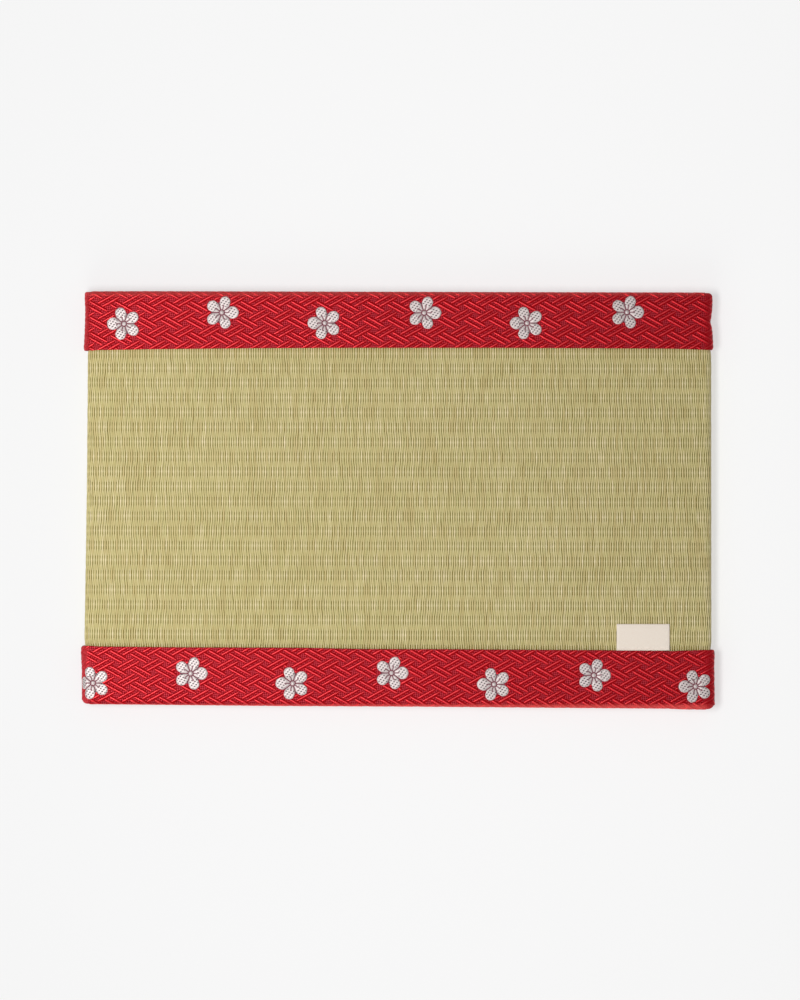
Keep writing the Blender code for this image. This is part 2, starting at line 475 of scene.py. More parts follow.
def rushMaterial():
    material, tree, shader = newMaterial("wovenRush")
    uv = uvMap(tree, "fabric")
    across, along = splitVector(tree, uv)
    side, t = splitVector(tree, uvMap(tree, "local"))
    fromCrown = sizeOf(tree, t)
    # one chance for each rush and one for each of its floats
    strand = mathNode(tree, "FLOOR", across)
    chance = addNode(tree, "ShaderNodeTexWhiteNoise", noise_dimensions="1D")
    tree.links.new(strand, chance.inputs["W"])
    floatChance = addNode(tree, "ShaderNodeTexWhiteNoise", noise_dimensions="2D")
    joined = addNode(tree, "ShaderNodeCombineXYZ")
    tree.links.new(strand, joined.inputs["X"])
    feed(tree, joined.inputs["Y"], mathNode(tree, "FLOOR", along))
    tree.links.new(joined.outputs[0], floatChance.inputs["Vector"])
    luck = floatChance.outputs["Value"]
    pick = mathNode(tree, "MULTIPLY_ADD", chance.outputs["Value"], 0.12, times(tree, luck, 0.88))
    colour = rampNode(tree, pick, [
        (0.0, (206, 188, 130)),
        (0.3, (211, 196, 138)),
        (0.55, (211, 199, 139)),
        (0.8, (216, 202, 145)),
        (1.0, (221, 207, 152)),
    ])
    shade, fine = fibres(tree, uv, 9.0, 0.8)
    streak = between(tree, shade, 0.9, 1.1)
    mottle = placeGroup(tree, toneMottle, Size=55.0, Depth=0.08)
    # a painted highlight along each float's crown, where the rush bends up over the cord, stronger on some
    # floats than others
    crown = fadeOut(tree, fromCrown, 0.06, 0.32)
    crown = mathNode(tree, "MULTIPLY_ADD", crown, between(tree, luck, 0.01, 0.09), 1.0)
    # a painted highlight along each float's lit flank and painted shade at its edges, which fade where the
    # rushes dive; there the float is painted a little darker, as shade
    dive = rangeNode(tree, fromCrown, 0.6, 1.06, 1.0, 0.1, smooth=True)
    paintedFlankHighlight = fadeOut(tree, sizeOf(tree, mathNode(tree, "ADD", side, 0.38)), 0.0, 0.55)
    paintedFlankHighlight = times(tree, paintedFlankHighlight, between(tree, luck, 0.17, 0.29))
    edge = mathNode(tree, "POWER", sizeOf(tree, side), 3.0)
    # relief here is the painted highlight and painted shade across the float, in colour only
    relief = mathNode(tree, "MULTIPLY_ADD", edge, -0.28, paintedFlankHighlight)
    relief = mathNode(tree, "MULTIPLY_ADD", relief, dive, rangeNode(tree, dive, 0.1, 1.0, 0.96, 1.0))
    tone = times(tree, streak, mottle.outputs["Tone"], relief, crown)
    # the rush turns yellower where its tone is darker, painted shade included, and less yellow under the
    # painted highlights
    tint = addNode(tree, "ShaderNodeCombineXYZ")
    for axis, power in zip("XYZ", (1.0, 1.02, 2.2)):
        feed(tree, tint.inputs[axis], mathNode(tree, "POWER", tone, power))
    shaded = addNode(tree, "ShaderNodeVectorMath", operation="MULTIPLY")
    feed(tree, shaded.inputs[0], colour)
    feed(tree, shaded.inputs[1], tint.outputs[0])
    dress(tree, shader, shaded.outputs[0], fine, 0.35, 0.12, specular=0.35)
    feed(tree, shader.inputs["Roughness"], between(tree, shade, 0.62, 0.5))
    return material


cordForm = {"radius": 0.26, "depth": 0.70, "sides": 6, "step": 5.0, "endStep": 0.8}


def makeCords(material):
    # the cords that the rushes float over, one under each row's crown
    form = cordForm
    skin = newSkin()
    step, endStep = form["step"], form["endStep"]
    endCount = int(endLength / endStep)
    places = [-endLength + endStep * index for index in range(endCount)]
    places += [step * index for index in range(int(topLength / step) + 1)]
    places += [topLength + endStep * index for index in range(1, endCount + 1)]
    for row in rushWeave["rows"]:
        crown = rushWeave["rowCrown"] - rushWeave["rowPitch"] * row
        rings = []
        for s in places:
            ring = []
            for side in range(form["sides"]):
                angle = 2.0 * math.pi * side / form["sides"]
                y = crown + form["radius"] * math.cos(angle)
                point = onFacing(y, s, form["depth"] - form["radius"] * math.sin(angle))
                ring.append(addPoint(skin, point, (angle, s)))
            rings.append(ring)
        addGrid(skin, rings, closed=True, flip=True)
    return makePiece("rushCords", skin, material)


underForm = {
    "depth": 0.62,
    "front": -95.6,
    "back": 97.0,
    "lines": 48,
    "topSteps": 24,
    "endSteps": 12,
    "flat": (0.2967, 0.1926),  # metres
}


def makeUnderLayer(material):
    # the rushes' lower layer, a closed slab just under the floats
    form = underForm
    topSteps, endSteps = form["topSteps"], form["endSteps"]
    places = [topLength * index / topSteps for index in range(topSteps + 1)]
    places += [topLength + endLength * index / endSteps for index in range(1, endSteps)]
    loop = places + [wrapLength + place for place in places]
    skin = newSkin()
    rings = []
    for index in range(form["lines"] + 1):
        y = mix(form["front"], form["back"], index / form["lines"])
        ring = []
        for s in loop:
            fabric = (s / rushWeave["rushPitch"], y / rushWeave["rowPitch"])
            ring.append(addPoint(skin, onFacing(y, s, form["depth"]), fabric))
        rings.append(ring)
    addGrid(skin, rings, closed=True)
    skin["faces"].append(rings[0])
    skin["faces"].append(rings[-1][::-1])
    piece = makePiece("rushUnderLayer", skin, material, weld=0.001, closed=True)
    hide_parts("rush_facing")
    return piece


def buildRush():
    weave = rushMaterial()
    rows = rushWeave["rows"]
    pitch = rushWeave["rushPitch"]
    first, last = -int(endLength / pitch), int(wrapLength / pitch)
    upper, under = rushWeave["upperPoints"], rushWeave["underPoints"]
    odd = makeRushRows("rushOddRows", rows[::2], (first, last), upper, weave)
    even = makeRushRows("rushEvenRows", rows[1::2], (first, last), upper, weave)
    first, last = int((wrapLength + 0.5) / pitch), int((wrapLength + topLength) / pitch)
    below = makeRushRows("rushUnderside", rows, (first, last), under, weave)
    cords = makeCords(yarnMaterial("weavingCord"))
    # the slab under the floats takes the darker yarn, painted shade for the gaps
    slab = makeUnderLayer(yarnMaterial("rushBelowPaintedShade"))
    print("rush facing done:", len(odd.data.polygons) + len(even.data.polygons), "quads on top")


# The brocade bindings

bindings = {
    "back": {
        "side": 1.0,
        "node": "binding_back",
        "name": "bindingBack",
        "inner": [(-149.7, 71.0), (-144.0, 71.5), (-120.0, 71.9), (-70.0, 72.4), (-30.0, 72.6), (49.0, 72.6),
                  (130.0, 72.2), (143.0, 71.8), (150.5, 71.5)],
        "outer": [(-149.4, 99.35), (-119.0, 99.45), (0.0, 99.15), (60.0, 99.0), (150.0, 98.8)],
        "left": [(71.0, -149.2), (71.5, -149.6), (72.4, -149.75), (80.0, -149.3), (90.0, -149.0),
                 (99.4, -149.4)],
        "right": [(71.4, 149.9), (72.0, 150.4), (73.0, 150.6), (78.0, 150.4), (82.0, 150.0), (84.9, 149.2),
                  (88.0, 149.7), (92.0, 150.2), (99.2, 150.2)],
        "panelLeft": -146.2,
        "panelRight": 146.6,
        "cornerRound": (1.1, 2.0),
        "repeatCentre": (-138.05, 95.35),
        # how the woven pattern wanders along the binding: X, shift in X, shift in Y
        "sway": [(-128.0, 0.35, 0.0), (-80.0, 0.1, 0.15), (-20.0, 0.0, 0.1), (15.0, 0.25, 0.1),
                 (70.0, 0.35, 0.15), (100.0, 0.6, 0.25), (130.0, 0.85, 0.5)],
        # each blossom's middle and the way that it is turned
        "blossoms": [(-130.4, 84.1, 180.0), (-34.8, 84.45, 180.0), (61.65, 84.4, 180.0),
                     (-83.85, 89.45, 0.0), (12.65, 89.3, 0.0), (109.3, 89.6, 0.0)],
    },
    "front": {
        "side": -1.0,
        "node": "binding_front",
        "name": "bindingFront",
        "inner": [(-151.0, 69.2), (-142.0, 69.75), (-110.0, 70.1), (-46.0, 70.35), (-15.0, 70.95),
                  (25.0, 71.05), (72.0, 71.4), (96.0, 71.5), (130.0, 71.95), (140.0, 71.6), (151.0, 71.3)],
        "outer": [(-150.6, 97.1), (-129.0, 97.25), (-58.0, 97.95), (13.0, 98.3), (72.0, 98.8), (128.0, 99.2),
                  (137.0, 99.6), (146.9, 99.7)],
        "left": [(69.2, -149.8), (69.6, -150.5), (70.4, -151.0), (73.0, -151.1), (80.0, -150.7),
                 (97.0, -150.6)],
        "right": [(71.3, 150.6), (71.9, 151.2), (73.0, 151.3), (78.0, 151.1), (97.0, 151.3)],
        "panelLeft": -147.4,
        "panelRight": 147.2,
        "cornerRound": (2.6, 3.4),
        "repeatCentre": (-141.4, -77.95),
        "sway": [(-150.0, 1.4, -0.3), (-128.0, 1.05, -0.35), (-100.0, 0.4, -0.45),
                 (-71.0, 0.1, -0.3), (-43.0, 0.0, 0.0), (14.0, -0.1, -0.2), (43.0, -0.1, -0.6),
                 (72.0, -0.05, -1.05), (100.0, 0.05, -1.35), (129.0, 0.05, -1.8), (150.0, 0.05, -2.1)],
        "blossoms": [(-145.2, -87.15, 180.0), (-50.05, -87.3, 180.0), (45.95, -87.75, 180.0),
                     (142.0, -88.8, 180.0), (-98.7, -82.6, 0.0), (-2.95, -82.35, 0.0), (93.5, -83.45, 0.0)],
    },
}

clothForm = {
    "sideRound": 1.8,
    "thickness": 1.0,
    "foldSoftness": 0.42,
    "foldGap": 0.05,  # how near the pattern comes to the inner fold
    "endEase": 0.3,  # how much the ends' outlines are eased
    "turnUnder": 0.85,  # how far round the lower rim the pattern runs, in radians
    "rimSteps": 6,
    "cornerSteps": 6,
    "columns": 150,
    "rows": 28,
    "flat": (0.328, 0.070),  # metres
}

ribForm = {
    "cell": (12.03, 7.37),
    "reach": (7.9, 4.3),  # one rib's run along X and Y
    "offset": (1.13, 0.69),  # from the middle of a pair to each rib
    # across one rib, from its shaded side to its lit one: place and height
    "section": [(0.98, 0.02), (0.56, 0.05), (0.42, 0.18), (0.17, 0.28),
                (-0.17, 0.28), (-0.42, 0.18), (-0.52, 0.04), (-0.74, 0.02)],
    "step": 1.25,  # between the points along a rib
    "blunt": (0.72, 0.5),  # height at its very end, and the length over which it rises
    "pulled": (0.45, 3.0),  # height where the cloth is pulled over an end, and how far out
    "clear": 0.2,  # from the blossoms
    "columns": (-3, 28),
    "firstLevel": -5,
    "underneath": 30.0,  # how far the pattern runs on under the mat
    "samples": 36,  # tested along each rib
    "fewest": 4,  # samples in a row that still make a rib
}

blossomForm = {
    # each petal's middle and half width, the first one on the blossom's own line
    "petals": [(5.0, 3.15), (5.25, 2.7), (5.2, 2.78), (5.2, 2.78), (5.25, 2.7)],
    "petalStart": 1.4,
    "gap": 0.2,
    "height": (0.04, 0.34),  # of a petal's rim, and from there to its top
    "edgeSwing": (-0.12, 0.1),
    "petalSteps": (12, 7),  # across and along
    # radius, rim height and middle height
    "centre": (1.02, 0.05, 0.38),
    "threads": (5.15, 0.05, 0.07),
    "rings": 4,
    "ringSides": 20,
    "reach": 8.6,  # no petal reaches further
    "seed": 5,
    "gather": 4.2,  # how much of a blossom can lie past the left end's rim
}


# from the start of the upper rim down to the start of the underside
rimLength = turnLength(clothForm["sideRound"], matForm["thickness"])


def overRim(beyond, radius, lift):
    # reach and height of the cloth past the start of a rim, or nothing once it turns under
    top = matForm["thickness"]
    drop, angle = roundTurn(beyond, radius, top - 2.0 * radius)
    if angle > 0.5 * math.pi + clothForm["turnUnder"]:
        return None
    reach = radius + lift
    return reach * math.sin(angle), top - radius - drop + reach * math.cos(angle)


def endPlace(form, end, out):
    # X of the left or right end, out from the mat's middle
    return placeIn(form[end], out, clothForm["endEase"])


def onBinding(form, u, v, lift=0.0, held=False):
    # a point of the folded cloth from its flat place, or nothing where no cloth shows;
    # held points stop at the fold instead
    side = form["side"]
    out = v * side
    inside = min(max(u, form["panelLeft"]), form["panelRight"])
    foldEdge = placeIn(form["inner"], inside) + clothForm["foldGap"]
    rimStart = placeIn(form["outer"], inside) - clothForm["sideRound"]
    top = matForm["thickness"]
    if out < foldEdge:
        if not held:
            return None
        out = foldEdge
    if u == inside:
        if out <= rimStart:
            return (u, side * out, top + lift)
        rim = overRim(out - rimStart, clothForm["sideRound"], lift)
        return rim and (u, side * (rimStart + rim[0]), rim[1])
    if out > rimStart:
        if not held:
            return None
        out = rimStart
    if u > inside:
        rim = overRim(u - inside, endPlace(form, "right", out) - inside, lift)
        return rim and (inside + rim[0], side * out, rim[1])
    rim = overRim(inside - u, inside - endPlace(form, "left", out), lift)
    return rim and (inside - rim[0], side * out, rim[1])


def cornerRun(start, corner, end, radius):
    # points round an outline's corner, between two given points
    points = [start]
    toStart = (start - corner).normalized()
    toEnd = (end - corner).normalized()
    steps = clothForm["cornerSteps"]
    for step in range(steps + 1):
        angle = 0.5 * math.pi * step / steps
        point = corner + toStart * radius * (1.0 - math.sin(angle))
        points.append(point + toEnd * radius * (1.0 - math.cos(angle)))
    points.append(end)
    return points


def endRun(form, end, x, inner, rim, outer):
    # up one end from the inner fold and round to the long edge: the outline's points and their hubs
    rows = clothForm["rows"]
    run = []
    for j in range(rows + 1):
        out = mix(inner, rim, j / rows)
        run.append((Vector((endPlace(form, end, out), out)), Vector((x, out))))
    start, hub = run[-1]
    radius = form["cornerRound"][end == "right"]
    corner = cornerRun(start, Vector((start.x, outer)), Vector((x, outer)), radius)
    return run + [(point, hub) for point in corner]


def makeCloth(form, material):
    side = form["side"]
    top = matForm["thickness"]
    columns, rows = clothForm["columns"], clothForm["rows"]
    xs = [mix(form["panelLeft"], form["panelRight"], index / columns) for index in range(columns + 1)]
    inner = [placeIn(form["inner"], x) for x in xs]
    outer = [placeIn(form["outer"], x) for x in xs]
    rim = [value - clothForm["sideRound"] for value in outer]
    skin = newSkin()

    # the flat panel on top and its twin underneath
    topRows, lowRows = [], []
    for j in range(rows + 1):
        topRow, lowRow = [], []
        for i, x in enumerate(xs):
            out = mix(inner[i], rim[i], j / rows)
            topRow.append(addPoint(skin, (x, side * out, top), (x, side * out)))
            lowRow.append(addPoint(skin, (x, side * out, 0.0), (x, side * (2.0 * rim[i] + rimLength - out))))
        topRows.append(topRow)
        lowRows.append(lowRow)
    addGrid(skin, topRows, flip=side < 0)
    addGrid(skin, lowRows, flip=side > 0)

    # the way round: left end, corner, long edge, corner, right end
    around = endRun(form, "left", xs[0], inner[0], rim[0], outer[0])
    around += [(Vector((x, end)), Vector((x, start))) for x, start, end in zip(xs, rim, outer)]
    around += endRun(form, "right", xs[-1], inner[-1], rim[-1], outer[-1])[::-1]

    steps = clothForm["rimSteps"]
    rings = [[] for _ in range(2 * (steps + 1))]
    for point, hub in around:
        reach = point - hub
        radius = reach.length
        way = reach.normalized()
        for step in range(steps + 1):
            angle = 0.5 * math.pi * step / steps
            place = hub + reach * math.sin(angle)
            drop = radius * (1.0 - math.cos(angle))
            flat = hub + way * radius * angle
            low = hub + way * (radius * (math.pi - angle) + top - 2.0 * radius)
            upper = addPoint(skin, (place.x, side * place.y, top - drop), (flat.x, side * flat.y))
            lower = addPoint(skin, (place.x, side * place.y, drop), (low.x, side * low.y))
            rings[step].append(upper)
            rings[2 * steps + 1 - step].append(lower)
    addGrid(skin, rings, flip=side < 0)
    piece = makePiece(form["name"] + "Cloth", skin, material, weld=0.01)
    thicken = piece.modifiers.new("folded cloth", "SOLIDIFY")
    thicken.thickness = clothForm["thickness"] * mm
    thicken.offset = -1.0
    softenEdges(piece, clothForm["foldSoftness"], 3, 55.0)
    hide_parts(form["node"])
    return piece


def petalReach(petal, angle):
    # how far one petal reaches from the blossom's middle, angle from the petal's own line
    middle, radius = blossomForm["petals"][petal]
    return middle * math.cos(angle) + math.sqrt(max(0.0, radius ** 2 - (middle * math.sin(angle)) ** 2))


def inBlossom(form, u, v, margin):
    # each petal has a fifth of the turn
    for x, y, turn in form["blossoms"]:
        away = math.hypot(u - x, v - y)
        if away > blossomForm["reach"]:
            continue
        fifths = math.degrees(math.atan2(v - y, u - x) - math.radians(turn)) / 72.0 + 0.5
        if away < petalReach(math.floor(fifths) % 5, math.radians(72.0 * (fifths % 1.0 - 0.5))) + margin:
            return True
    return False


def addRib(skin, form, start, end, shaded):
    # one raised line of floats, half round across and blunt at its ends, on low dark red flanks, the shaded
    # one's dark red partly painted shade
    length = math.hypot(end[0] - start[0], end[1] - start[1])
    steps = max(2, round(length / ribForm["step"]))
    way = ((end[0] - start[0]) / length, (end[1] - start[1]) / length)
    endHeight, endRise = ribForm["blunt"]
    pulledHeight, pulledRun = ribForm["pulled"]
    lines = []
    for step in range(steps + 1):
        share = step / steps
        u = mix(start[0], end[0], share)
        v = mix(start[1], end[1], share)
        edge = min(share, 1.0 - share) * length
        swell = mix(endHeight, 1.0, min(1.0, edge / endRise))
        line = []
        for place, rise in ribForm["section"]:
            aside = shaded * place * swell
            fabric = (u - way[1] * aside, v + way[0] * aside)
            past = max(form["panelLeft"] - fabric[0], fabric[0] - form["panelRight"], 0.0)
            lift = rise * swell * mix(1.0, pulledHeight, min(1.0, past / pulledRun))
            point = onBinding(form, *fabric, lift, held=True)
            line.append((point, (place, share * length), fabric))
        if all(point for point, _, _ in line):
            lines.append([addPoint(skin, *values) for values in line])
    addGrid(skin, lines, flip=(form["side"] > 0) == (shaded < 0))


def addRibRuns(skin, form, midU, midV, rise):
    # the stretches of one rib that show: it stops at the fold, at the blossoms and underneath
    runX, runY = ribForm["reach"]
    samples = ribForm["samples"]
    run = []
    for sample in range(samples + 2):
        share = sample / samples - 0.5
        u, v = midU + runX * share, midV + rise * runY * share
        shows = sample <= samples and onBinding(form, u, v)
        if shows and not inBlossom(form, u, v, ribForm["clear"]):
            run.append((u, v))
            continue
        if len(run) >= ribForm["fewest"]:
            addRib(skin, form, run[0], run[-1], -rise)
        run = []


def makeRibs(form, material):
    # the interlaced fence ground: pairs of ribs, rising and falling by turns
    skin = newSkin()
    wide, tall = ribForm["cell"]
    offX, offY = ribForm["offset"]
    centreX, centreY = form["repeatCentre"]
    swayX, swayU, swayV = zip(*form["sway"])
    lastLevel = int((rimLength + ribForm["underneath"]) / tall) + 1
    for column in range(*ribForm["columns"]):
        for level in range(ribForm["firstLevel"], lastLevel + 1):
            for half, rise in ((0.0, 1.0), (0.5, -1.0)):
                for pick in (-1.0, 1.0):
                    midU = centreX + wide * (column + half) + pick * offX
                    midV = centreY + form["side"] * tall * (level + half) - pick * rise * offY
                    midV += float(np.interp(midU, swayX, swayV))
                    midU += float(np.interp(midU, swayX, swayU))
                    addRibRuns(skin, form, midU, midV, rise)
    return makePiece(form["name"] + "Ribs", skin, material)


def drawnIn(form, u):
    # a blossom at the left end is gathered in as the cloth turns down
    past = form["panelLeft"] - u
    gather = blossomForm["gather"]
    return u if past <= 0.0 else form["panelLeft"] - gather * (1.0 - math.exp(-past / gather))


def blossomPoint(form, centre, away, angle, lift):
    # a point of the cloth round a blossom's middle, and its flat place
    u = centre[0] + away * math.cos(angle)
    v = centre[1] + away * math.sin(angle)
    return onBinding(form, drawnIn(form, u), v, lift, held=True), (u, v)


def addPetal(skin, form, centre, petal, edges):
    shape = blossomForm
    acrossSteps, alongSteps = shape["petalSteps"]
    low, rise = shape["height"]
    axis = math.radians(centre[2] + 72.0 * petal)
    halfTurn = math.radians(36.0)
    lines = []
    for j in range(alongSteps + 1):
        share = j / alongSteps
        line = []
        for i in range(acrossSteps + 1):
            place = 2.0 * i / acrossSteps - 1.0
            reach = petalReach(petal, place * halfTurn) + edges[i]
            away = mix(shape["petalStart"], reach, math.sin(0.5 * math.pi * share))
            angle = place * (halfTurn - math.asin(min(0.9, shape["gap"] / away)))
            rim = (1.0 - abs(place) ** 6) * (1.0 - (2.0 * share - 1.0) ** 8)
            lift = low + rise * max(0.0, rim) ** 0.6
            point, fabric = blossomPoint(form, centre, away, axis + angle, lift)
            local = (away * math.cos(angle), away * math.sin(angle))
            line.append(addPoint(skin, point, fabric, local))
        lines.append(line)
    addGrid(skin, lines, flip=form["side"] > 0)


def addDisc(skin, form, centre, radius, low, high):
    rings = []
    count, sides = blossomForm["rings"], blossomForm["ringSides"]
    for j in range(count + 1):
        away = radius * (j + 0.02) / (count + 0.02)  # the innermost ring is nearly a point
        ring = []
        for i in range(sides):
            lift = mix(high, low, (j / count) ** 2)
            point, fabric = blossomPoint(form, centre, away, 2.0 * math.pi * i / sides, lift)
            ring.append(addPoint(skin, point, fabric, (0.0, 9.0)))
        rings.append(ring)
    addGrid(skin, rings, closed=True, flip=form["side"] > 0)
    skin["faces"].append(rings[0] if form["side"] > 0 else rings[0][::-1])


def makeBlossoms(form, silk, thread):
    # five petals round a small middle, over the dark threads that part them
    petals, backing = newSkin(), newSkin()
    rng = random.Random(blossomForm["seed"])
    edgeCount = blossomForm["petalSteps"][0] + 1
    for centre in form["blossoms"]:
        for petal in range(5):
            edges = [rng.uniform(*blossomForm["edgeSwing"]) for _ in range(edgeCount)]
            addPetal(petals, form, centre, petal, edges)
        addDisc(petals, form, centre, *blossomForm["centre"])
        addDisc(backing, form, centre, *blossomForm["threads"])
    return (makePiece(form["name"] + "Blossoms", petals, silk),
            makePiece(form["name"] + "BlossomThreads", backing, thread))


def paintedRimAndEndShading(tree, u, v, colour, fade, strength):
    # the cloth is pulled smooth over its long rims and its two ends, where a flat colour covers the pattern;
    # on the rims that colour is a painted highlight, stronger at the front, at the left end a painted
    # highlight and at the right end painted shade
    out = sizeOf(tree, v)
    # painted highlight along the long rims, stronger at the front than at the back
    rim = times(tree, fadeIn(tree, out, 96.6, 98.6), fadeOut(tree, out, 99.8, 102.2))
    rim = times(tree, rim, rangeNode(tree, v, -97.0, 97.0, 0.66, 0.36))
    colour = mixColour(tree, rim, colour, (250, 96, 92))
    # painted highlight over the left end, painted shade over the right one
    for side, tint in ((-1.0, (224, 72, 78)), (1.0, (186, 28, 38))):
        past = times(tree, u, side)
        paintedEndBand = times(tree, fadeIn(tree, past, *fade), fadeOut(tree, past, 151.0, 153.0, strength))
        colour = mixColour(tree, paintedEndBand, colour, tint)
    return colour


def twillWave(tree, u, v, slant, pitch):
    place = mathNode(tree, "MULTIPLY_ADD", v, slant, u)
    return mathNode(tree, "SINE", times(tree, place, 2.0 * math.pi / pitch))


def groundMaterial():
    # the low ground of the brocade: a fine dotted twill in deep red, plainer on the turned-in ends, with
    # painted highlight on its rims and left end and painted shade on its right end
    material, tree, shader = newMaterial("brocadeGround")
    uv = uvMap(tree, "fabric")
    u, v = splitVector(tree, uv)
    dots = times(tree, twillWave(tree, u, v, 1.3, 2.1), twillWave(tree, u, v, -0.8, 1.66))
    dotShade = fadeIn(tree, dots, -0.6, 0.6)
    shade, fine = fibres(tree, uv, 1.4, 4.5)
    colour = mixColour(tree, dotShade, (114, 0, 8), (186, 50, 62))
    wander = mathNode(tree, "MULTIPLY_ADD", shade, 1.2, u)
    colour = paintedRimAndEndShading(tree, wander, v, colour, (145.6, 148.6), 0.7)
    mottle = placeGroup(tree, toneMottle, Size=30.0, Depth=0.16)
    tone = times(tree, mottle.outputs["Tone"], between(tree, shade, 0.9, 1.1))
    height = mathNode(tree, "ADD", dotShade, fine)
    colour = toned(tree, colour, tone)
    dress(tree, shader, colour, height, 0.5, 0.10, roughness=0.36, metallic=0.2, specular=0.02)
    return material


def ribMaterial():
    # the bright satin floats of the raised pattern, deep red down their sides, with a painted highlight down
    # the middle, painted shade on the shaded flank, and the rims' and ends' painted highlight and shade
    material, tree, shader = newMaterial("brocadeRib")
    uv = uvMap(tree, "fabric")
    across = splitVector(tree, uv)[0]
    u, v = splitVector(tree, uvMap(tree, "local"))
    shade, fine = fibres(tree, uv, 6.0, 2.2)
    colour = mixColour(tree, shade, (206, 8, 28), (219, 22, 40))
    # a painted highlight down the middle of each rib
    paintedRibHighlight = fadeOut(tree, sizeOf(tree, across), 0.08, 0.42, 0.85)
    # the dark red reaches further in on the shaded flank as painted shade; on the lit flank it is a deep red
    # edge
    shaded, lit = fadeIn(tree, across, 0.3, 0.6), fadeIn(tree, across, -0.42, -0.56)
    for share, tint in ((paintedRibHighlight, (207, 66, 70)), (shaded, (158, 0, 8)), (lit, (152, 0, 10))):
        colour = mixColour(tree, share, colour, tint)
    colour = paintedRimAndEndShading(tree, u, v, colour, (146.4, 148.6), 0.35)
    mottle = placeGroup(tree, toneMottle, Size=24.0, Depth=0.14)
    colour = toned(tree, colour, mottle.outputs["Tone"])
    dress(tree, shader, colour, fine, 0.5, 0.12, roughness=0.4, specular=0.05)
    shine = mathNode(tree, "SUBTRACT", 1.0, mathNode(tree, "MAXIMUM", shaded, lit))
    feed(tree, shader.inputs["Metallic"], times(tree, shine, 0.66))
    return material


def stitchPlace(tree, u, v, first, second, shift):
    # how far a point is from the nearest stitch, counted in one of the stitches' two steps
    place = mathNode(tree, "MULTIPLY_ADD", u, first, shift)
    place = mathNode(tree, "MULTIPLY_ADD", v, second, place)
    return mathNode(tree, "SUBTRACT", mathNode(tree, "FRACT", place), 0.5)


def squared(tree, value):
    return mathNode(tree, "POWER", sizeOf(tree, value), 2.0)


def petalMaterial():
    # pale floats tied down by small dark stitches, with darker marks at each petal's root
    material, tree, shader = newMaterial("blossomSilk")
    uv = uvMap(tree, "fabric")
    u, v = splitVector(tree, uv)
    outward, aside = splitVector(tree, uvMap(tree, "local"))
    stepA, stepB = (1.40, -0.49), (-0.79, -0.91)  # from one stitch to the next two
    spread = stepA[0] * stepB[1] - stepA[1] * stepB[0]
    alongA = stitchPlace(tree, u, v, stepB[1] / spread, -stepB[0] / spread, 0.3)
    alongB = stitchPlace(tree, u, v, -stepA[1] / spread, stepA[0] / spread, 0.1)
    away = mathNode(tree, "ADD", times(tree, squared(tree, alongA), 1.5), squared(tree, alongB))
    dots = fadeOut(tree, mathNode(tree, "SQRT", away), 0.21, 0.36)
    # the stitches keep off the petals' rims and roots
    rimOut = mathNode(tree, "MAXIMUM", mathNode(tree, "SUBTRACT", outward, 5.15), 0.0)
    rimAway = mathNode(tree, "MULTIPLY_ADD", aside, aside, squared(tree, rimOut))
    rimAway = mathNode(tree, "SQRT", rimAway)
    dots = times(tree, dots, rangeNode(tree, rimAway, 2.1, 2.4, 1.0, 0.0))
    dots = times(tree, dots, rangeNode(tree, outward, 2.8, 3.4, 0.0, 1.0))
    root = fadeOut(tree, sizeOf(tree, aside), 0.22, 0.38)
    root = times(tree, root, fadeOut(tree, outward, 3.0, 3.3), fadeIn(tree, outward, 1.3, 1.7))
    # each stroke ends in a small hook to one side
    hookOut = squared(tree, mathNode(tree, "SUBTRACT", outward, 3.4))
    hookAside = squared(tree, mathNode(tree, "SUBTRACT", aside, 0.26))
    hook = mathNode(tree, "SQRT", mathNode(tree, "ADD", hookOut, hookAside))
    root = mathNode(tree, "MAXIMUM", root, fadeOut(tree, hook, 0.34, 0.48))
    shade, fine = fibres(tree, uv, 0.6, 7.0)
    base = mixColour(tree, shade, (200, 184, 182), (225, 214, 212))
    colour = mixColour(tree, times(tree, dots, 0.95), base, (74, 64, 66))
    colour = mixColour(tree, times(tree, root, 0.85), colour, (112, 50, 66))
    fine = times(tree, fine, 0.4)
    height = mathNode(tree, "SUBTRACT", fine, mathNode(tree, "MAXIMUM", dots, root))
    dress(tree, shader, colour, height, 0.6, 0.15, roughness=0.45, metallic=0.25)
    return material


def buildBindings():
    ground, rib = groundMaterial(), ribMaterial()
    silk, thread = petalMaterial(), yarnMaterial("blossomThread")
    for form in bindings.values():
        cloth = makeCloth(form, ground)
        ribs = makeRibs(form, rib)
        blossoms, threads = makeBlossoms(form, silk, thread)
        print(form["name"], "done:", len(ribs.data.polygons), "quads of ribs")


# The bare tape tab

tabForm = {
    "left": 104.4,
    "right": 129.6,
    "front": -71.7,
    "back": -59.0,
    "bottom": 11.85,
    "layer": 0.42,
    "softness": 0.12,
    "steps": 8,  # along each layer and round the fold
    "columns": 16,
    "flat": (0.0252, 0.0254),  # metres
}


def tapeMaterial():
    material, tree, shader = newMaterial("creamTape")
    uv = uvMap(tree, "fabric")
    weft, weftHeight = fibres(tree, uv, 0.7, 5.0)
    warp, warpHeight = fibres(tree, uv, 5.0, 0.7)
    both = mathNode(tree, "ADD", weft, warp)
    colour = mixColour(tree, times(tree, both, 0.5), (250, 234, 218), (255, 244, 230))
    height = mathNode(tree, "ADD", weftHeight, warpHeight)
    dress(tree, shader, colour, height, 0.4, 0.1, roughness=0.8)
    return material


